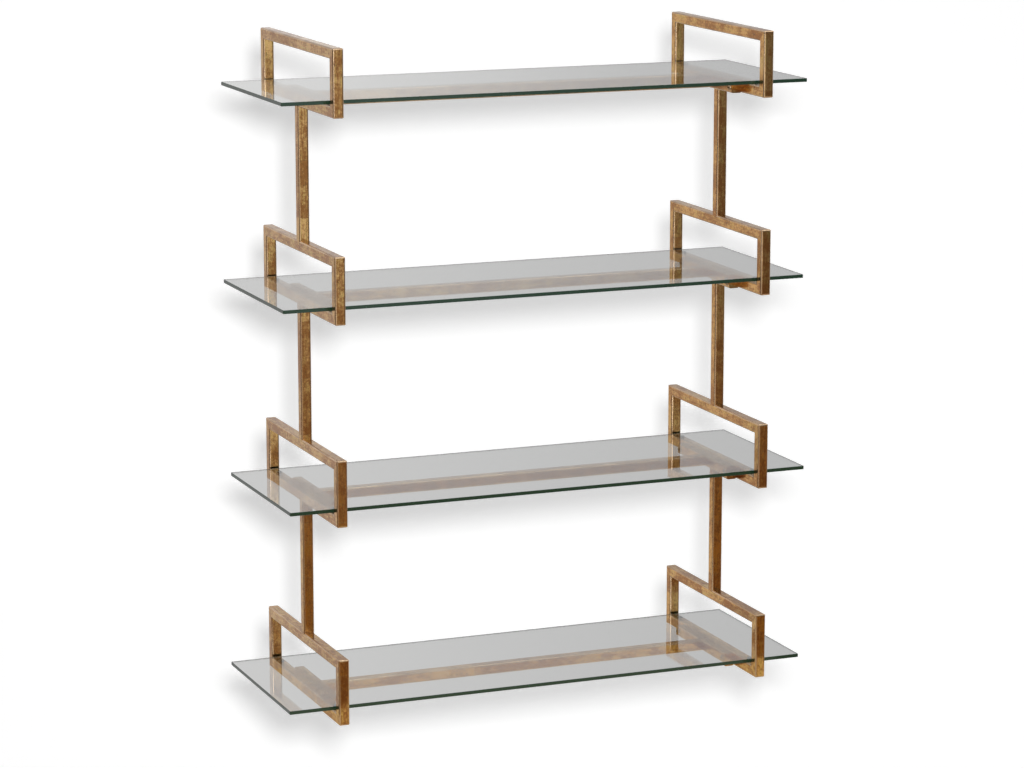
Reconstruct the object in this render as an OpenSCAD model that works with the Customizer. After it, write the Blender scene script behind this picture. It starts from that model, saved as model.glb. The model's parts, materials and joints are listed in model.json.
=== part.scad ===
// Wall shelf: loose glass panes laid through rectangular loops of gilded square tube.
// The wall is the plane y = 0, the front faces -Y, and the origin lies midway between
// the two wall hangers in the rear uprights of the top loops.

/* [Shelves] */
// Number of glass panes, each with a loop at either end
shelf_count = 4; // [2:1:6]
// Height from one pane to the next
pitch = 274; // [160:1:400]

/* [Side loops] */
// Outside depth of a loop, from the wall to its front face
loop_depth = 305; // [200:1:450]
// Outside height of a loop
loop_height = 92; // [70:1:140]
// Width and height of the square tube
tube = 15; // [12:0.1:25]
// Wall thickness of the tube
tube_wall = 1.2; // [0.8:0.1:1.8]
// Outside corner radius of the tube
tube_corner = 2.5; // [0.9:0.1:3]
// Radius ground on the four outer corners of a loop
loop_corner = 2.8; // [0.5:0.1:3]

/* [Glass panes] */
// Length of a pane, which is the overall width
pane_length = 762; // [500:1:1200]
// Gap between a pane's long edge and the uprights, front and back
pane_play = 6; // [1:0.1:30]
// Thickness of the glass
pane_thickness = 5; // [4:0.5:10]
// Length of each pane end that stands out past its loop
overhang = 63; // [20:1:120]
// Corner radius of a pane, seen from above
pane_corner = 1.5; // [0.8:0.1:10]
// Ground edge of the glass, taken off every long corner
pane_arris = 0.5; // [0.2:0.1:1]
// How far each pane lies off the middle, top pane first
pane_shift = [-1, -2, 4, 0]; // [-20:1:20]

/* [Pads under the glass] */
// Diameter of a clear pad
pad_d = 8; // [5:0.5:9]
// Height of a pad, which is the gap between the bar and the glass
pad_height = 2; // [2:0.5:6]
// Radius of a pad's upper edge
pad_round = 0.8; // [0.4:0.1:1.5]
// Distance of a pad's centre from the pane's long edge
pad_inset = 13; // [6:0.5:60]
// Gap between a pad and the glass that slides over it
pad_gap = 0.1; // [0.1:0.05:0.5]

/* [Crossbar flanges] */
// Length of the flange bar at each end of a crossbar
flange_length = 165; // [80:1:190]
// Distance of a screw from the end of its flange
screw_inset = 6.5; // [6:0.5:20]

/* [Screws] */
// Diameter of the screw's shank
screw_d = 5; // [3:0.5:5]
// How far the end of a screw stands inside the loop's tube
screw_tail = 2.1; // [1:0.1:6]
// Diameter of the screw's round head
head_d = 9.5; // [8:0.1:11]
// Height of the screw's round head
head_height = 2.8; // [2:0.1:4]
// Width across the flats of the socket in the head
socket_af = 3; // [2:0.5:4]
// Depth of the socket
socket_depth = 1.5; // [0.8:0.1:1.8]
// How much wider than the shank the hole through a flange is
hole_play = 0.4; // [0.2:0.1:1]
// How much wider than the shank the hole in a tube wall is
thread_play = 0.1; // [0.1:0.1:0.4]

/* [Wall hangers] */
// Diameter of the keyhole's round entry, for the head of a wall screw
keyhole_d = 9; // [6:0.5:9]
// Width of the keyhole's slot, for the shank of a wall screw
keyhole_slot = 4.6; // [3:0.1:5]
// Height from the middle of the entry to the top of the screw's seat
keyhole_rise = 9; // [7:0.5:16]

/* [Hidden] */
$fn = 48;
// Length by which a cut runs past the face that it opens
cut_over = 1;
// Smallest radius of a corner inside the tube
least_corner = 0.2;
// Length by which a coped end stops short of the crossing bar's side, to leave no feather edge
cope_short = 0.5;
cope = max(tube_corner - cope_short, 0);
inner_corner = max(tube_corner - tube_wall, least_corner);
tube_inside = tube - 2 * tube_wall;
loop_x = pane_length / 2 - overhang - tube / 2;
loop_y = -loop_depth / 2;
rail_z = (loop_height - tube) / 2;
upright_y = (loop_depth - tube) / 2;
pane_depth = loop_depth - 2 * tube - 2 * pane_play;
post_height = pitch - loop_height;
bar_top = tube - loop_height / 2;
flange_x = loop_x - tube;
crossbar_length = 2 * flange_x - tube;
screw_y = flange_length / 2 - screw_inset;
screw_length = tube + tube_wall + screw_tail;
pad_y = pane_depth / 2 - pad_inset;
SIDES = [-1, 1];
SIDE_NAMES = ["left", "right"];
GOLD = "#b48a55";
SIDE_PIECES = ["top_bar", "bottom_bar", "rear_upright", "front_upright", "flange"];

// Height of the middle of loop n above the wall hangers
function loop_z(n) = keyhole_rise / 2 - (n - 1) * pitch;

// Shift of pane n, or none if the list is too short
function shift_of(n) = n <= len(pane_shift) ? pane_shift[n - 1] : 0;

// A square with round corners, centred on the origin
module soft_square(side, corner) {
    flat = side - 2 * corner;
    square([side, flat], center = true);
    square([flat, side], center = true);
    for (x = SIDES, y = SIDES)
        translate([x * flat / 2, y * flat / 2])
            circle(corner);
}

// The tube's section
module tube_section() {
    difference() {
        soft_square(tube, tube_corner);
        soft_square(tube_inside, inner_corner);
    }
}

// A square tube along Z, open at both ends
module straight_tube(length) {
    linear_extrude(length, center = true)
        tube_section();
}

// A tube along Z whose ends are coped to sit on bars of the same size that run along Y
module coped_tube(length) {
    difference() {
        straight_tube(length + 2 * cope);
        for (z = SIDES)
            translate([0, 0, z * (length + tube) / 2])
                rotate([90, 0, 0])
                    linear_extrude(tube + 2 * cut_over, center = true)
                        soft_square(tube, tube_corner);
    }
}

// One side of a loop seen from its side: mitred at 45 degrees, its outer corners ground round
module mitred_outline(length) {
    straight = length - 2 * loop_corner;
    intersection() {
        polygon([
            [-length / 2, tube / 2],
            [length / 2, tube / 2],
            [length / 2 - tube, -tube / 2],
            [-length / 2 + tube, -tube / 2]
        ]);
        union() {
            square([straight, tube], center = true);
            translate([0, -loop_corner])
                square([length, tube], center = true);
            for (x = SIDES)
                translate([x * straight / 2, tube / 2 - loop_corner])
                    circle(loop_corner);
        }
    }
}

// A tube along Y whose ends are mitred at 45 degrees, with its long side up
module mitred_tube(length) {
    intersection() {
        rotate([90, 0, 0])
            straight_tube(length);
        rotate([90, 0, 90])
            linear_extrude(tube + 2 * cut_over, center = true)
                mitred_outline(length);
    }
}

// Holes along X for one flange's two screws
module screw_holes(diameter, length) {
    for (y = SIDES)
        translate([0, y * screw_y, 0])
            rotate([0, 90, 0])
                cylinder(d = diameter, h = length, center = true);
}

// The keyhole in the rear wall, cut along Y from the wall plane, entry at the origin
module keyhole() {
    rotate([90, 0, 0])
        linear_extrude(2 * (tube_wall + cut_over), center = true) {
            circle(d = keyhole_d);
            translate([-keyhole_slot / 2, 0])
                square([keyhole_slot, keyhole_rise]);
            translate([0, keyhole_rise])
                circle(d = keyhole_slot);
        }
}

// Moves a piece to the middle of loop n on one side
module at_loop(n, side) {
    translate([side * loop_x, loop_y, loop_z(n)])
        children();
}

// The top bar of a loop
module top_bar(n, side) {
    color(GOLD)
        at_loop(n, side)
            translate([0, 0, rail_z])
                mitred_tube(loop_depth);
}

// The bottom bar of a loop, with holes in its inner wall for the flange's screws
module bottom_bar(n, side) {
    color(GOLD)
        at_loop(n, side)
            translate([0, 0, -rail_z])
                difference() {
                    rotate([0, 180, 0])
                        mitred_tube(loop_depth);
                    translate([-side * tube / 2, 0, 0])
                        screw_holes(screw_d + thread_play, tube);
                }
}

// The upright at the front of a loop
module front_upright(n, side) {
    color(GOLD)
        at_loop(n, side)
            translate([0, -upright_y, 0])
                rotate([90, 0, 0])
                    mitred_tube(loop_height);
}

// The upright against the wall. The top pair have the keyholes that the shelf hangs by.
module rear_upright(n, side) {
    color(GOLD)
        at_loop(n, side)
            difference() {
                translate([0, upright_y, 0])
                    rotate([-90, 0, 0])
                        mitred_tube(loop_height);
                if (n == 1)
                    translate([0, loop_depth / 2, -keyhole_rise / 2])
                        keyhole();
            }
}

// A post from the bottom bar of loop n down to the top bar of the next
module post(n, side) {
    color(GOLD)
        at_loop(n, side)
            translate([0, 0, -pitch / 2])
                coped_tube(post_height);
}

// The bar from left to right under pane n, between the two flanges
module crossbar(n) {
    color(GOLD)
        translate([0, loop_y, loop_z(n) + bar_top - tube / 2])
            rotate([0, 90, 0])
                coped_tube(crossbar_length);
}

// A solid bar that carries one end of a crossbar against the side of a loop
module flange(n, side) {
    color(GOLD)
        translate([side * flange_x, loop_y, loop_z(n) + bar_top - tube / 2])
            difference() {
                rotate([90, 0, 0])
                    linear_extrude(flange_length, center = true)
                        soft_square(tube, tube_corner);
                screw_holes(screw_d + hole_play, tube + 2 * cut_over);
            }
}

// A round-headed screw along +Z, its head's seat at the origin and its shank upwards
module screw() {
    head_r = head_d / 2;
    dome_r = (head_r * head_r + head_height * head_height) / (2 * head_height);
    cylinder(d = screw_d, h = screw_length);
    difference() {
        rotate([180, 0, 0])
            rotate_extrude()
                intersection() {
                    translate([0, head_height - dome_r])
                        circle(dome_r);
                    square([head_r, head_height]);
                }
        translate([0, 0, -head_height - cut_over])
            cylinder(d = socket_af / cos(30), h = socket_depth + cut_over, $fn = 6);
    }
}

// The screws of every crossbar, two through each flange into its loop
module flange_screws() {
    color("#8a6a44")
        for (n = [1:shelf_count], side = SIDES, y = SIDES)
            translate([
                side * (flange_x - tube / 2),
                loop_y + y * screw_y,
                loop_z(n) + bar_top - tube / 2
            ])
                rotate([0, side * 90, 0])
                    screw();
}

// One clear pad, standing on the origin
module pad() {
    rotate_extrude()
        intersection() {
            square([pad_d / 2, pad_height]);
            union() {
                square([pad_d / 2 - pad_round, pad_height]);
                square([pad_d / 2, pad_height - pad_round]);
                translate([pad_d / 2 - pad_round, pad_height - pad_round])
                    circle(pad_round);
            }
        }
}

// The pads that the panes rest on, two on the bottom bar of every loop
module pane_pads() {
    color("#dfe6e6")
        for (n = [1:shelf_count], side = SIDES, y = SIDES)
            at_loop(n, side)
                translate([0, y * pad_y, bar_top])
                    pad();
}

// The outline of a bar of glass seen from its end, with its four corners ground off
module ground_section(width) {
    half = width / 2;
    rise = pane_thickness / 2;
    polygon([
        [-half, -rise + pane_arris],
        [-half + pane_arris, -rise],
        [half - pane_arris, -rise],
        [half, -rise + pane_arris],
        [half, rise - pane_arris],
        [half - pane_arris, rise],
        [-half + pane_arris, rise],
        [-half, rise - pane_arris]
    ]);
}

// The pane's outline from above
module pane_outline() {
    flat_length = pane_length - 2 * pane_corner;
    flat_depth = pane_depth - 2 * pane_corner;
    square([pane_length, flat_depth], center = true);
    square([flat_length, pane_depth], center = true);
    for (x = SIDES, y = SIDES)
        translate([x * flat_length / 2, y * flat_depth / 2])
            circle(pane_corner);
}

// Glass pane n, laid through both loops and loose on its pads
module glass_pane(n) {
    color("#bfd3cc", 0.35)
        translate([
            shift_of(n),
            loop_y,
            loop_z(n) + bar_top + pad_height + pad_gap + pane_thickness / 2
        ])
            intersection() {
                linear_extrude(pane_thickness, center = true)
                    pane_outline();
                rotate([90, 0, 90])
                    linear_extrude(pane_length, center = true)
                        ground_section(pane_depth);
                rotate([90, 0, 0])
                    linear_extrude(pane_depth, center = true)
                        ground_section(pane_length);
            }
}

for (i = [0, 1], n = [1:shelf_count]) {
    name = SIDE_NAMES[i];
    side = SIDES[i];
    top_bar(n, side);
    bottom_bar(n, side);
    rear_upright(n, side);
    front_upright(n, side);
    flange(n, side);
    if (n < shelf_count)
        post(n, side);
}
for (n = [1:shelf_count]) {
    crossbar(n);
    glass_pane(n);
}
flange_screws();
pane_pads();
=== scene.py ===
# The finishes of a gilded wall shelf with glass panes, and the studio that it is shown in

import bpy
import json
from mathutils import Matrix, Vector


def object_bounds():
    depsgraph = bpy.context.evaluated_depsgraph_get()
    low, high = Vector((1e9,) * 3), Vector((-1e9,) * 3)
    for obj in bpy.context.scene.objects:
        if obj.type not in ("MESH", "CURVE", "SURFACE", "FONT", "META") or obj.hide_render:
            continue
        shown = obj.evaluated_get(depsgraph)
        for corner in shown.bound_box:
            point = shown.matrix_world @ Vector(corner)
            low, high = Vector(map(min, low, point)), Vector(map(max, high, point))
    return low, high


bl_info = {
    "name": "Gilded Wall Shelf",
    "version": (1, 0, 0),
    "blender": (4, 5, 0),
    "location": "View3D > Sidebar > Wall Shelf",
    "description": "Gilds the tube frame, glazes the panes and lights the shelf",
    "category": "Object",
}

import json
from math import cos, pi, radians, sin

import bmesh
import bpy
from bpy.props import FloatProperty, FloatVectorProperty, PointerProperty
from mathutils import Matrix, Vector

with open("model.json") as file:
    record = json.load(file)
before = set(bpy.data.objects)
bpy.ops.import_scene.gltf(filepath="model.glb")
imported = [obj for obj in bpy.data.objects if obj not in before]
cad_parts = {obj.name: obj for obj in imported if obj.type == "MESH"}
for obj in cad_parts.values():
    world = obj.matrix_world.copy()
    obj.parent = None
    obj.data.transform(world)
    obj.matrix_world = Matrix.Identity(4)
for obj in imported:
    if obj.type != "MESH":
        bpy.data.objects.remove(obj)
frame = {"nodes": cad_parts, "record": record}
CAD_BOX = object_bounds()
LOW, HIGH = CAD_BOX
MIDDLE = (LOW + HIGH) / 2

MM = 0.001
MM_PER_METRE = 1000.0
WHITE = (1.0, 1.0, 1.0)

# How strongly the clear materials bend light, and how rough the lacquer is
GLASS_IOR = 1.52
PAD_IOR = 1.41
LACQUER_IOR = 1.5
LACQUER_ROUGHNESS = 0.08

# Width of the camera's sensor in millimetres
SENSOR_WIDTH = 36.0

# Enough bounces for a ray that passes through all four panes
BOUNCES = 18

# Turns that bring a tube's length to X
ALONG_X = (0.0, 0.0, 0.0)
ALONG_Y = (0.0, 0.0, -pi / 2)
ALONG_Z = (0.0, pi / 2, 0.0)

# How far apart two tubes' patterns can be: in the noise's fourth dimension, and in millimetres of the sheets
PATTERN_SPREAD = 37.0
SHEET_SPREAD = 900.0

# What keeps the green places from following the streaks
GREEN_SHIFT = 5.0

# Millimetres from a seam's middle at which it still shows in full, and at which it is gone
SEAM_CORE = 0.1
SEAM_EDGE = 0.55


def colour(name, words, value):
    """A colour property"""
    return FloatVectorProperty(
        name=name, description=words, subtype="COLOR", size=3, min=0, max=1, default=value)


def share(name, words, value):
    """A property from 0 to 1"""
    return FloatProperty(name=name, description=words, subtype="FACTOR", min=0, max=1, default=value)


def length(name, words, value):
    """A length property in metres"""
    return FloatProperty(name=name, description=words, subtype="DISTANCE", unit="LENGTH", default=value)


def place(name, words, value):
    """A property for a point in metres"""
    return FloatVectorProperty(
        name=name, description=words, subtype="TRANSLATION", unit="LENGTH", size=3, default=value)


def angle(name, words, degrees):
    """An angle property, given in degrees"""
    return FloatProperty(
        name=name, description=words, subtype="ANGLE", unit="ROTATION", default=radians(degrees))


def power(name, words, value):
    """A property for a lamp's power in watts"""
    return FloatProperty(name=name, description=words, subtype="POWER", unit="POWER", min=0, default=value)


class GiltSettings(bpy.types.PropertyGroup):
    """Antique gold leaf on the tubes"""

    leaf: colour("Leaf", "Colour of the clean leaf", (0.73, 0.445, 0.175))
    worn: colour("Worn leaf", "Colour where the leaf is thin and brown shows", (0.37, 0.165, 0.05))
    bole: colour("Bole", "Brown ground that shows where the leaf is broken", (0.15, 0.065, 0.02))
    olive: colour("Olive leaf", "Colour of the leaf where its lacquer has turned green", (0.63, 0.46, 0.15))
    # The pale edge colour is partly burnish on the leaf and partly a painted highlight on every rounded edge
    pale: colour("Burnished leaf", "Colour of the leaf on the rounded edges", (0.78, 0.58, 0.4))
    greened: share("Green places", "How far the leaf turns olive in places", 0.6)
    burnish_and_sheen: share("Burnish", "How far the rounded edges turn pale", 0.85)
    flecks: share("Flecks", "How strongly the ground shows in flecks", 0.7)
    specks: share("Specks", "How strongly the ground shows in specks", 0.8)
    seams: share("Seams", "How strongly the ground shows in the seams between sheets", 0.75)
    rubbed: share("Rubbed edges", "How far the leaf is worn off the rounded edges", 0.5)
    leaf_side: length("Leaf side", "Side of one square sheet of leaf", 78 * MM)
    seam_wander: length("Seam wander", "How far a seam wanders from a straight line", 7 * MM)
    relief: length("Relief", "Height of the leaf's small bumps", 0.12 * MM)
    relief_strength: share("Relief strength", "How strongly the bumps show", 0.35)
    roughness: share("Roughness", "Roughness of the clean leaf", 0.1)
    worn_roughness: share("Worn roughness", "How much rougher the thin leaf is", 0.08)
    bole_roughness: share("Bole roughness", "How much rougher the bare ground is", 0.12)
    bole_dullness: share("Bole dullness", "How much less metallic the bare ground is", 0.4)
    lacquer: share("Lacquer", "Weight of the clear lacquer over the leaf", 0.08)
    flange_darker: share("Darker flanges", "How much darker the flange bars are", 0.15)
    screw_darker: share("Darker screws", "How much darker the screws are", 0.45)


class GlassSettings(bpy.types.PropertyGroup):
    """Clear float glass with ground edges, and the clear pads that it lies on"""

    depth_colour: colour("Depth colour", "Colour that long ways through the glass turn to", (0.42, 0.61, 0.5))
    density: FloatProperty(name="Density", description="Absorption for each metre", min=0, default=20.0)
    edge_roughness: share("Edge roughness", "Mean roughness of the ground edges", 0.12)
    edge_colour: colour("Edge colour", "Colour of the ground edges", (0.022, 0.065, 0.036))
    edge_cover: share("Edge cover", "How far the ground edges hide what is behind them", 0.55)
    shade: colour("Shade", "Lamp light that a pane lets through to what is behind it", (0.1, 0.1, 0.1))
    pad_colour: colour("Pad colour", "Colour of the clear pads", (0.9, 0.92, 0.9))
    pad_clearness: share("Pad clearness", "How much light goes through the pads", 0.95)


class StudioSettings(bpy.types.PropertyGroup):
    """Camera, lamps and surroundings"""

    # Camera
    azimuth: angle("Azimuth", "Where the camera stands: 0 in front of the shelf, 90 to its right", -21.97)
    elevation: angle("Elevation", "How high the camera stands over its target", 11.42)
    distance: length("Distance", "From the camera to its target", 4.865)
    aim_right: length("Aim right", "How far to the right of the shelf's middle the camera aims", -6.9 * MM)
    aim_up: length("Aim up", "How far above the shelf's middle the camera aims", -38.4 * MM)
    lens: FloatProperty(
        name="Lens", description="Focal length of the camera", subtype="DISTANCE_CAMERA", unit="CAMERA",
        min=1, default=122.5)

    # What metal and glass mirror, and the light from all round
    wall_light: colour("Wall, light side", "Wall at the left, in metal and glass", (0.65, 0.635, 0.64))
    wall_dark: colour("Wall, dark side", "Wall at the right, in metal and glass", (0.5, 0.49, 0.495))
    glare: colour("Glare", "Brightest part of the wall, low behind the shelf", (0.9, 0.89, 0.89))
    warm: colour("Warm end of the wall", "Wall at the far left, as metal mirrors it", (0.8, 0.68, 0.53))
    room: colour("Room", "Light part of the room, in front", (0.77, 0.8, 0.83))
    window: colour("Window", "Bright window to the left of the camera", (0.8, 0.77, 0.72))
    dark: colour("Dark corners", "Dark parts of the room, left and right", (0.03, 0.015, 0.005))
    side: colour("Sides of the room", "What the loops' ends and the panes mirror sideways", (0.6, 0.56, 0.5))
    brown: colour("Brown floor", "Dark floor at the far side of the room", (0.25, 0.13, 0.04))
    floor: colour("Floor", "Floor close to the shelf, as metal mirrors it", (0.55, 0.5, 0.42))
    ceiling: colour("Ceiling", "Ceiling as metal mirrors it", (0.6, 0.6, 0.59))
    ambient: share("Ambient", "Strength of the light from all round", 0.42)

    # Lamps and card
    key_right: length("Key light right", "How far the key light is to the right of the camera", 70 * MM)
    key_up: length("Key light up", "How far the key light is above the camera", 130 * MM)
    key_size: length("Key light size", "Diameter of the key light", 190 * MM)
    key_power: power("Key light power", "Power of the key light, which casts the shadows", 146.0)
    strip_place: place("Strip's place", "Middle of the tall lamp at the left", (-2.0, -2.2, 0.55))
    strip_width: length("Strip's width", "Width of the tall lamp at the left", 0.9)
    strip_height: length("Strip's height", "Height of the tall lamp at the left", 1.5)
    strip_power: power("Strip's power", "Power of the tall lamp at the left", 17.0)
    top_place: place("Top lamp's place", "Middle of the lamp above", (1.0, -0.8, 2.2))
    top_width: length("Top lamp's width", "Width of the lamp above", 2.6)
    top_depth: length("Top lamp's depth", "Depth of the lamp above", 1.5)
    top_power: power("Top lamp's power", "Power of the lamp above", 12.0)
    # The card glows: a light that gives the metal its reflection from below
    card_glow: colour("Card", "Colour of the card under the lowest loops", (0.66, 0.57, 0.4))
    card_reach: length("Card's reach", "How far the card stands out in front of the shelf", 110 * MM)
    card_gap: length("Card's gap", "From the lowest loops down to the card", 6 * MM)

    # White wall and floor
    paint: colour("White paint", "Colour of the white wall and floor", (0.99, 0.99, 0.99))
    wall_gap: length("Wall gap", "From the back of the shelf to the white wall", 1.0)
    wall_width: length("Wall width", "Width of the white wall", 2.8)
    wall_height: length("Wall height", "Height of the white wall, from the floor up", 2.2)
    wall_right: length("Wall right", "How far to the right of the origin the wall's middle is", 0.6)
    wall_glow: share("Wall glow", "White wall's own glow straight behind the origin", 0.205)
    wall_slope: FloatVectorProperty(
        name="Wall glow slope",
        description="How much the glow grows for each metre, to make up for the key light's fall-off",
        size=3, default=(0.055, 0.0, -0.034))
    least_glow: share("Least glow", "Smallest part of its glow that a slope leaves to the wall", 0.8)
    floor_drop: length("Floor drop", "From the lowest loop to the floor", 0.7)
    floor_width: length("Floor width", "Width of the white floor", 24.0)
    floor_depth: length("Floor depth", "Depth of the white floor, front to back", 20.0)
    floor_front: length("Floor front", "How far in front of the wall the floor's middle is", 7.0)
    floor_glow: share("Floor glow", "White floor's own glow", 0.6)


class ShelfSettings(bpy.types.PropertyGroup):
    """All settings of the shelf"""

    gilt: PointerProperty(name="Gilt", description="Gold leaf on the frame", type=GiltSettings)
    glass: PointerProperty(name="Glass", description="Panes and pads", type=GlassSettings)
    studio: PointerProperty(name="Studio", description="Camera and lights", type=StudioSettings)


def settings():
    """The scene's settings for this shelf"""
    return bpy.context.scene.gilded_shelf


def nodes_of(slot):
    """The CAD nodes in one of the record's material slots, by their names"""
    names = [part["node"] for part in frame["record"]["subparts"] if part["material_slot"] == slot]
    if not names:
        raise RuntimeError(f"No piece of the shelf is in the slot {slot}")
    return {name: frame["nodes"][name] for name in names}


def add(tree, kind, inputs=None, **values):
    """Adds a node, sets its properties, and sets or links its inputs"""
    made = tree.nodes.new(kind)
    for name, value in values.items():
        setattr(made, name, value)
    for name, value in (inputs or {}).items():
        if isinstance(value, bpy.types.NodeSocket):
            tree.links.new(value, made.inputs[name])
        else:
            made.inputs[name].default_value = value
    return made


def maths(tree, operation, first, *others, clamp=False):
    """A Math node's result, or that of a chain of them where there are more than two numbers

    An operation on one number leaves the second socket unused.
    """
    result = first
    for other in others or (0.0,):
        made = add(tree, "ShaderNodeMath", {0: result, 1: other}, operation=operation, use_clamp=clamp)
        result = made.outputs[0]
    return result


def scaled(tree, value, factor):
    """A number times a factor"""
    return maths(tree, "MULTIPLY", value, factor)


def weighted(tree, *parts):
    """The sum of numbers, each times its weight"""
    return maths(tree, "ADD", *(scaled(tree, value, weight) for value, weight in parts))


def blend(tree, factor, a, b):
    """A mix of two colours. A Mix node's sockets for colours are its inputs 6 and 7 and its output 2."""
    return add(tree, "ShaderNodeMix", {0: factor, 6: a, 7: b}, data_type="RGBA").outputs[2]


def ramp(tree, value, low, high, to_low=0.0, to_high=1.0):
    """A number moved smoothly from one range to another"""
    made = add(tree, "ShaderNodeMapRange", {
        "Value": value, "From Min": low, "From Max": high, "To Min": to_low, "To Max": to_high,
    }, interpolation_type="SMOOTHSTEP")
    return made.outputs["Result"]


def noise(tree, where, seed, scale, detail, roughness, distortion=0.0):
    """A noise from 0 to 1"""
    return add(tree, "ShaderNodeTexNoise", {
        "Vector": where, "W": seed, "Scale": scale, "Detail": detail, "Roughness": roughness,
        "Distortion": distortion,
    }, noise_dimensions="4D").outputs[0]


def new_material(name):
    """An empty material, its node tree and its output node"""
    material = bpy.data.materials.new(name)
    material.use_nodes = True
    material.node_tree.nodes.clear()
    return material, material.node_tree, material.node_tree.nodes.new("ShaderNodeOutputMaterial")


def rgba(values):
    """An opaque colour for a node's socket"""
    return (*values, 1.0)


def dress(node, material):
    """Gives a CAD node its material"""
    node.data.materials.clear()
    node.data.materials.append(material)


def drawn_out(tree, where, squeeze):
    """A place whose X is squeezed, so that a noise there is drawn out along the tube"""
    return add(tree, "ShaderNodeMapping", {"Vector": where, "Scale": (squeeze, 1.0, 1.0)}).outputs[0]


def squareness(tree):
    """1 on the flat faces of a tube, less on its rounded edges"""
    normal = add(tree, "ShaderNodeTexCoord").outputs["Normal"]
    facing = add(tree, "ShaderNodeVectorMath", {0: normal}, operation="ABSOLUTE").outputs[0]
    return maths(tree, "MAXIMUM", *add(tree, "ShaderNodeSeparateXYZ", {0: facing}).outputs)


def leaf_sheets(tree, where, own, seed, broken):
    """Square sheets laid along a tube: each sheet's own tone, and the broken seam where it meets the next"""
    gilt = settings().gilt
    side = gilt.leaf_side * MM_PER_METRE
    wander = noise(tree, where, seed, scale=0.12, detail=3.0, roughness=0.6)
    wander = scaled(tree, wander, gilt.seam_wander * MM_PER_METRE)
    along = add(tree, "ShaderNodeSeparateXYZ", {0: where}).outputs[0]
    along = maths(tree, "ADD", along, scaled(tree, own, SHEET_SPREAD), wander)
    sheets = maths(tree, "DIVIDE", along, side)
    number = maths(tree, "ADD", maths(tree, "FLOOR", sheets), seed)
    tone = add(tree, "ShaderNodeTexWhiteNoise", {"W": number}, noise_dimensions="1D").outputs[0]
    to_seam = scaled(tree, maths(tree, "PINGPONG", sheets, 0.5), side)
    seam = ramp(tree, to_seam, SEAM_EDGE, SEAM_CORE)
    return tone, maths(tree, "MULTIPLY", seam, ramp(tree, broken, 0.42, 0.58))


def gilt_material(name, turn, darker=0.0):
    """Gold leaf in square sheets on a brown ground

    The turn brings the tube's length to X. Places on the tube are in millimetres there, so the scale of
    each noise is for a millimetre. The ramps pick a pattern's levels, most of which are from 0.3 to 0.7.
    """
    gilt = settings().gilt
    material, tree, out = new_material(name)
    own = add(tree, "ShaderNodeObjectInfo").outputs["Random"]
    seed = scaled(tree, own, PATTERN_SPREAD)
    where = add(tree, "ShaderNodeMapping", {
        "Vector": add(tree, "ShaderNodeTexCoord").outputs["Object"], "Rotation": turn,
        "Scale": (MM_PER_METRE, MM_PER_METRE, MM_PER_METRE)}).outputs[0]
    stretched = drawn_out(tree, where, 0.45)
    streaky = drawn_out(tree, where, 0.12)

    # Thin leaf, in clouds, mottling and streaks that the sheets' tones add to
    cloud = noise(tree, where, seed, scale=0.045, detail=4.0, roughness=0.55)
    mottle = noise(tree, where, seed, scale=0.28, detail=5.0, roughness=0.62, distortion=0.6)
    streak = noise(tree, streaky, seed, scale=0.42, detail=3.0, roughness=0.65)
    broken = noise(tree, where, seed, scale=0.9, detail=2.0, roughness=0.6)
    tone, seam = leaf_sheets(tree, where, own, seed, broken)
    thin = weighted(tree, (cloud, 0.5), (mottle, 0.55), (streak, 0.5), (tone, 0.12))
    thin = ramp(tree, thin, 0.7, 0.95)

    # Leaf that has turned green in places
    other_seed = maths(tree, "ADD", seed, GREEN_SHIFT)
    green = noise(tree, streaky, other_seed, scale=0.3, detail=3.0, roughness=0.6)
    green = ramp(tree, green, 0.44, 0.6)

    # Flecks on the clouds, and specks anywhere
    fleck = noise(tree, stretched, seed, scale=0.4, detail=3.0, roughness=0.65, distortion=0.4)
    fleck = maths(tree, "MULTIPLY", ramp(tree, fleck, 0.56, 0.68), ramp(tree, cloud, 0.35, 0.55))
    speck = noise(tree, where, seed, scale=0.8, detail=1.0, roughness=0.5)
    speck = ramp(tree, speck, 0.62, 0.72)

    # Rounded edges, where the leaf is paler, part burnish on the leaf and part a painted highlight, and
    # rubbed off in patches
    rounding = ramp(tree, squareness(tree), 0.995, 0.9)
    patches = noise(tree, streaky, seed, scale=0.2, detail=2.0, roughness=0.5)
    patches = ramp(tree, patches, 0.35, 0.65, 0.1, 0.9)
    breaks = maths(
        tree, "MAXIMUM", scaled(tree, fleck, gilt.flecks), scaled(tree, speck, gilt.specks),
        scaled(tree, seam, gilt.seams), maths(tree, "MULTIPLY", rounding, patches, gilt.rubbed))

    base = blend(tree, scaled(tree, green, gilt.greened), rgba(gilt.leaf), rgba(gilt.olive))
    base = blend(tree, thin, base, rgba(gilt.worn))
    # Paler rounded edges: part burnish, part painted highlight
    base = blend(tree, scaled(tree, rounding, gilt.burnish_and_sheen), base, rgba(gilt.pale))
    base = blend(tree, breaks, base, rgba(gilt.bole))
    if darker:
        base = blend(tree, darker, base, rgba(gilt.bole))
    height = weighted(tree, (mottle, 0.5), (broken, 0.25), (breaks, -0.35))
    bumps = add(tree, "ShaderNodeBump", {
        "Strength": gilt.relief_strength, "Distance": gilt.relief, "Height": height})
    shader = add(tree, "ShaderNodeBsdfPrincipled", {
        "Base Color": base,
        "Roughness": maths(
            tree, "ADD", scaled(tree, thin, gilt.worn_roughness), gilt.roughness,
            scaled(tree, breaks, gilt.bole_roughness)),
        "Metallic": maths(tree, "SUBTRACT", 1.0, scaled(tree, breaks, gilt.bole_dullness)),
        "Normal": bumps.outputs[0],
        "Coat Weight": gilt.lacquer, "Coat Roughness": LACQUER_ROUGHNESS, "Coat IOR": LACQUER_IOR,
    })
    tree.links.new(shader.outputs[0], out.inputs["Surface"])
    return material


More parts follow.
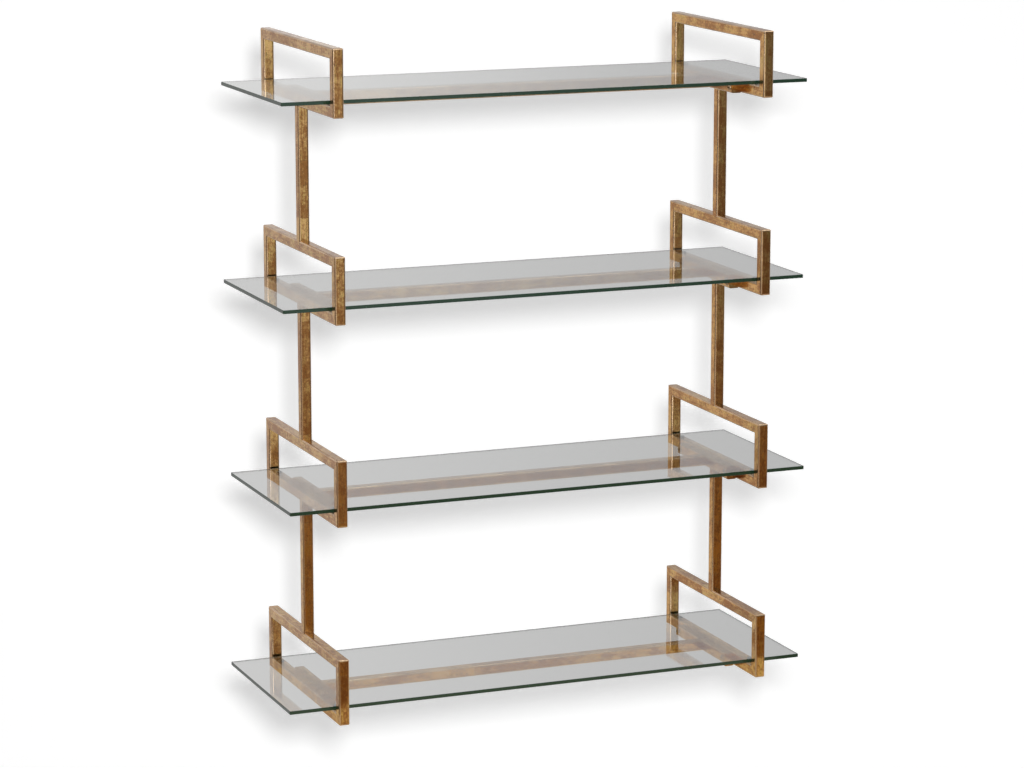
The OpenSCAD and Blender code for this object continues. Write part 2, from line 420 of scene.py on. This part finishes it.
def glass_material():
    """Clear glass whose long ways turn dark green, with finely ground edges"""
    glass = settings().glass
    material, tree, out = new_material("float_glass")
    coordinates = add(tree, "ShaderNodeTexCoord").outputs

    # The ground edges are the faces that look neither up nor down
    upwards = add(tree, "ShaderNodeSeparateXYZ", {0: coordinates["Normal"]}).outputs[2]
    edge = maths(tree, "LESS_THAN", maths(tree, "ABSOLUTE", upwards), 0.9)

    # The noise is a half on average, so twice the mean roughness goes with it
    grind = noise(tree, coordinates["Object"], 0.0, scale=900.0, detail=2.0, roughness=0.6)
    grind = scaled(tree, grind, 2 * glass.edge_roughness)
    shader = add(tree, "ShaderNodeBsdfPrincipled", {
        "Base Color": blend(tree, edge, rgba(WHITE), rgba(glass.edge_colour)),
        "Roughness": maths(tree, "MULTIPLY", edge, grind),
        "Transmission Weight": maths(tree, "SUBTRACT", 1.0, scaled(tree, edge, glass.edge_cover)),
        "IOR": GLASS_IOR,
    })
    shaded = add(tree, "ShaderNodeBsdfTransparent", {"Color": rgba(glass.shade)})
    shadow = add(tree, "ShaderNodeLightPath").outputs["Is Shadow Ray"]
    both = add(tree, "ShaderNodeMixShader", {0: shadow, 1: shader.outputs[0], 2: shaded.outputs[0]})
    inside = add(tree, "ShaderNodeVolumeAbsorption", {
        "Color": rgba(glass.depth_colour), "Density": glass.density})
    tree.links.new(both.outputs[0], out.inputs["Surface"])
    tree.links.new(inside.outputs[0], out.inputs["Volume"])
    return material


def pad_material():
    """Clear soft plastic, a little cloudy"""
    glass = settings().glass
    material, tree, out = new_material("clear_pad")
    where = add(tree, "ShaderNodeTexCoord").outputs["Object"]
    haze = noise(tree, where, 0.0, scale=700.0, detail=3.0, roughness=0.5)
    shader = add(tree, "ShaderNodeBsdfPrincipled", {
        "Base Color": rgba(glass.pad_colour),
        "Roughness": ramp(tree, haze, 0.3, 0.7, 0.05, 0.2),
        "Transmission Weight": glass.pad_clearness,
        "IOR": PAD_IOR,
    })
    tree.links.new(shader.outputs[0], out.inputs["Surface"])
    return material


class SHELF_OT_gild_frame(bpy.types.Operator):
    """Gilds every tube and bar of the frame, along its own length"""

    bl_idname = "shelf.gild_frame"
    bl_label = "Gild the frame"

    def execute(self, context):
        finishes = {
            "bar": gilt_material("gilt_bars", ALONG_Y),
            "flange": gilt_material("gilt_flanges", ALONG_Y, settings().gilt.flange_darker),
            "upright": gilt_material("gilt_uprights", ALONG_Z),
            "post": gilt_material("gilt_posts", ALONG_Z),
            "crossbar": gilt_material("gilt_crossbars", ALONG_X),
        }
        for name, node in nodes_of("gilded_metal").items():
            # The word before the number, such as bar in left_top_bar_1
            kind = name.split("_")[-2]
            dress(node, finishes[kind])
        return {"FINISHED"}


class SHELF_OT_finish_screws(bpy.types.Operator):
    """Gives the flange screws their darker gilding"""

    bl_idname = "shelf.finish_screws"
    bl_label = "Finish the screws"

    def execute(self, context):
        finish = gilt_material("gilt_screws", ALONG_X, settings().gilt.screw_darker)
        for node in nodes_of("gilded_screw").values():
            dress(node, finish)
        return {"FINISHED"}


class SHELF_OT_glaze(bpy.types.Operator):
    """Makes the panes glass and the pads clear plastic"""

    bl_idname = "shelf.glaze"
    bl_label = "Glaze the panes"

    def execute(self, context):
        for slot, finish in (("clear_glass", glass_material()), ("clear_pad", pad_material())):
            for node in nodes_of(slot).values():
                dress(node, finish)
        return {"FINISHED"}


def backdrop_material(name, one_sided, glow, slope=(0.0, 0.0, 0.0)):
    """A white surface that keeps the shelf's shadow, with a glow that makes up for the key light's fall-off

    A surface with one side is clear from behind.
    """
    studio = settings().studio
    material, tree, out = new_material(name)
    paint = add(tree, "ShaderNodeBsdfDiffuse", {"Color": rgba(studio.paint)})
    where = add(tree, "ShaderNodeTexCoord").outputs["Object"]
    more = add(tree, "ShaderNodeVectorMath", {0: where, 1: slope}, operation="DOT_PRODUCT").outputs["Value"]
    strength = maths(tree, "MAXIMUM", maths(tree, "ADD", more, glow), studio.least_glow * glow)
    lift = add(tree, "ShaderNodeEmission", {"Color": rgba(WHITE), "Strength": strength})
    surface = add(tree, "ShaderNodeAddShader", {0: paint.outputs[0], 1: lift.outputs[0]})
    if one_sided:
        behind = add(tree, "ShaderNodeNewGeometry").outputs["Backfacing"]
        clear = add(tree, "ShaderNodeBsdfTransparent")
        surface = add(tree, "ShaderNodeMixShader", {
            0: behind, 1: surface.outputs[0], 2: clear.outputs[0]})
    tree.links.new(surface.outputs[0], out.inputs["Surface"])
    return material


def flat_piece(name, width, height, where, material):
    """A flat rectangle of the stage, which casts no shadow and lights nothing matt"""
    mesh = bpy.data.meshes.new(name)
    bm = bmesh.new()
    shape = where @ Matrix.Diagonal((width, height, 1, 1))
    bmesh.ops.create_grid(bm, x_segments=1, y_segments=1, size=0.5, matrix=shape)
    bm.to_mesh(mesh)
    bm.free()
    mesh.materials.append(material)
    piece = bpy.data.objects.new(name, mesh)
    bpy.context.scene.collection.objects.link(piece)
    piece.visible_diffuse = piece.visible_transmission = piece.visible_shadow = False
    return piece


def backdrop():
    """The white wall and floor, which only the camera sees"""
    studio = settings().studio
    wall_y = HIGH.y + studio.wall_gap
    floor_z = LOW.z - studio.floor_drop
    wall_place = Matrix.Translation((studio.wall_right, wall_y, floor_z + studio.wall_height / 2))
    wall_place = wall_place @ Matrix.Rotation(pi / 2, 4, "X")
    wall_paint = backdrop_material("wall", True, studio.wall_glow, studio.wall_slope)
    wall = flat_piece("wall", studio.wall_width, studio.wall_height, wall_place, wall_paint)
    wall.visible_glossy = False
    floor_place = Matrix.Translation((0.0, wall_y - studio.floor_front, floor_z))
    floor_paint = backdrop_material("floor", False, studio.floor_glow)
    floor = flat_piece("floor", studio.floor_width, studio.floor_depth, floor_place, floor_paint)
    floor.visible_glossy = False


def card():
    """A pale card just below the lowest loops, which glows as a light that only metal mirrors"""
    studio = settings().studio
    material, tree, out = new_material("card")
    glow = add(tree, "ShaderNodeEmission", {"Color": rgba(studio.card_glow), "Strength": 1.0})
    tree.links.new(glow.outputs[0], out.inputs["Surface"])
    depth = HIGH.y - LOW.y + studio.card_reach
    where = Matrix.Translation((MIDDLE.x, HIGH.y - depth / 2, LOW.z - studio.card_gap))
    piece = flat_piece("card", HIGH.x - LOW.x, depth, where, material)
    piece.visible_camera = False


def direction(azimuth, elevation):
    """The unit vector towards an azimuth and an elevation, with azimuth 0 in front of the shelf"""
    return Vector((sin(azimuth) * cos(elevation), -cos(azimuth) * cos(elevation), sin(elevation)))


def lamp(name, where, width, height, watts, shape="RECTANGLE"):
    """A soft lamp that faces the shelf's middle, and that the camera doesn't see"""
    data = bpy.data.lights.new(name, "AREA")
    data.shape = shape
    data.size = width
    data.size_y = height
    data.energy = watts
    piece = bpy.data.objects.new(name, data)
    bpy.context.scene.collection.objects.link(piece)
    piece.location = where
    piece.rotation_mode = "QUATERNION"
    piece.rotation_quaternion = (MIDDLE - Vector(where)).to_track_quat("-Z", "Y")
    piece.visible_camera = False
    return piece


def gloss_lamps():
    """The two lamps that only metal and glass mirror"""
    studio = settings().studio
    strip = lamp(
        "left_strip", studio.strip_place, studio.strip_width, studio.strip_height, studio.strip_power)
    strip.visible_diffuse = False
    top = lamp("top", studio.top_place, studio.top_width, studio.top_depth, studio.top_power)
    top.visible_diffuse = False


def key_light(camera):
    """The round lamp beside the camera, which lights the shelf and casts its shadow on the wall"""
    studio = settings().studio
    beside = camera.rotation_quaternion @ Vector((studio.key_right, studio.key_up, 0.0))
    key = lamp(
        "key", camera.location + beside, studio.key_size, studio.key_size, studio.key_power, shape="DISK")
    key.visible_glossy = False


def panorama(tree, turn, bands):
    """A colour for each part of a full turn, from bands between two azimuths in degrees

    The turn goes from 0 at azimuth -180 to 1 at 180. Between two bands the colour changes evenly.
    """
    made = add(tree, "ShaderNodeValToRGB", {0: turn})
    elements = made.color_ramp.elements
    elements.remove(elements[0])
    stops = [(azimuth, value) for start, end, value in bands for azimuth in (start, end)]
    for n, (azimuth, value) in enumerate(stops):
        spot = azimuth / 360 + 0.5
        element = elements[0] if n == 0 else elements.new(spot)
        element.position = spot
        element.color = rgba(value)
    return made.outputs["Color"]


def mirrored_room(tree, right, back, up):
    """What metal and glass mirror in a direction

    The direction's parts to the right, to the back and up go from -1 to 1.
    """
    studio = settings().studio
    azimuth = maths(tree, "ARCTAN2", right, scaled(tree, back, -1.0))
    turn = maths(tree, "ADD", maths(tree, "DIVIDE", azimuth, 2 * pi), 0.5)
    shown = panorama(tree, turn, (
        (-180, -160, studio.wall_light),
        (-148, -136, studio.warm),
        (-124, -76, studio.dark),
        (-64, -20, studio.window),
        (-8, 20, studio.room),
        (27.5, 60, studio.dark),
        (74, 106, studio.side),
        (118, 122, studio.dark),
        (140, 152, studio.wall_dark),
        (164, 180, studio.wall_light),
    ))

    # Each of these covers a part of the bands and of those before it
    above_horizon = ramp(tree, up, -0.02, 0.04)
    far_floor = maths(tree, "MULTIPLY", ramp(tree, up, -0.18, -0.215), ramp(tree, back, 0.2, -0.2))
    near_floor = ramp(tree, up, -0.31, -0.4)
    ceiling = ramp(tree, up, 0.5, 0.75)
    low_rear = maths(
        tree, "MULTIPLY", ramp(tree, up, 0.16, 0.08), above_horizon, ramp(tree, right, 0.42, 0.3),
        ramp(tree, back, 0.2, 0.6))
    left = maths(tree, "MULTIPLY", ramp(tree, right, -0.88, -0.96), above_horizon)
    for cover, value in (
            (far_floor, studio.brown), (near_floor, studio.floor), (ceiling, studio.ceiling),
            (low_rear, studio.glare), (left, studio.side)):
        shown = blend(tree, cover, shown, rgba(value))
    return shown


def studio_world():
    """White for the camera, a grey wall and a warm room for metal and glass, and soft light for the rest"""
    studio = settings().studio
    world = bpy.data.worlds.new("studio")
    bpy.context.scene.world = world
    world.use_nodes = True
    world.cycles.sampling_method = "NONE"
    tree = world.node_tree
    tree.nodes.clear()
    way = add(tree, "ShaderNodeTexCoord").outputs["Generated"]
    right, back, up = add(tree, "ShaderNodeSeparateXYZ", {0: way}).outputs
    rays = add(tree, "ShaderNodeLightPath").outputs
    through_glass = blend(
        tree, ramp(tree, right, 0.24, 0.5), rgba(studio.wall_light), rgba(studio.wall_dark))
    seen = blend(
        tree, rays["Is Transmission Ray"], mirrored_room(tree, right, back, up), through_glass)
    seen = blend(tree, rays["Is Camera Ray"], seen, rgba(WHITE))
    is_seen = maths(
        tree, "ADD", rays["Is Camera Ray"], rays["Is Glossy Ray"], rays["Is Transmission Ray"], clamp=True)
    soft = (studio.ambient, studio.ambient, studio.ambient)
    sky = add(tree, "ShaderNodeBackground", {
        "Color": blend(tree, is_seen, rgba(soft), seen), "Strength": 1.0})
    out = tree.nodes.new("ShaderNodeOutputWorld")
    tree.links.new(sky.outputs[0], out.inputs["Surface"])


def place_camera():
    """The camera, aimed close to the shelf's middle from its azimuth and elevation"""
    studio = settings().studio
    camera = bpy.data.objects.new("camera", bpy.data.cameras.new("camera"))
    bpy.context.scene.collection.objects.link(camera)
    camera.data.lens = studio.lens
    camera.data.sensor_width = SENSOR_WIDTH
    towards = direction(studio.azimuth, studio.elevation)
    target = MIDDLE + Vector((studio.aim_right, 0.0, studio.aim_up))
    camera.location = target + towards * studio.distance
    camera.rotation_mode = "QUATERNION"
    camera.rotation_quaternion = towards.to_track_quat("Z", "Y")
    bpy.context.scene.camera = camera
    return camera


class SHELF_OT_build_studio(bpy.types.Operator):
    """Sets up the wall, the floor, the lamps, the surroundings and the camera"""

    bl_idname = "shelf.build_studio"
    bl_label = "Build the studio"

    def execute(self, context):
        backdrop()
        gloss_lamps()
        card()
        studio_world()
        camera = place_camera()
        key_light(camera)
        context.scene.view_settings.view_transform = "Standard"
        cycles = context.scene.cycles
        cycles.max_bounces = cycles.glossy_bounces = cycles.transmission_bounces = BOUNCES
        return {"FINISHED"}


OPERATORS = (SHELF_OT_gild_frame, SHELF_OT_finish_screws, SHELF_OT_glaze, SHELF_OT_build_studio)


class SHELF_PT_panel(bpy.types.Panel):
    """The shelf's steps and settings"""

    bl_idname = "SHELF_PT_panel"
    bl_label = "Wall Shelf"
    bl_space_type = "VIEW_3D"
    bl_region_type = "UI"
    bl_category = "Wall Shelf"

    def draw(self, context):
        for operator in OPERATORS:
            self.layout.operator(operator.bl_idname)
        for group in (settings().gilt, settings().glass, settings().studio):
            box = self.layout.box()
            for name in group.__annotations__:
                box.prop(group, name)


CLASSES = (GiltSettings, GlassSettings, StudioSettings, ShelfSettings, *OPERATORS, SHELF_PT_panel)


def register():
    """Registers the classes and gives the scene its settings"""
    for item in CLASSES:
        bpy.utils.register_class(item)
    bpy.types.Scene.gilded_shelf = PointerProperty(type=ShelfSettings)


def unregister():
    """Undoes what register does"""
    del bpy.types.Scene.gilded_shelf
    for item in reversed(CLASSES):
        bpy.utils.unregister_class(item)


def main():
    register()
    bpy.ops.shelf.gild_frame()
    bpy.ops.shelf.finish_screws()
    bpy.ops.shelf.glaze()
    bpy.ops.shelf.build_studio()


if __name__ == "__main__":
    main()
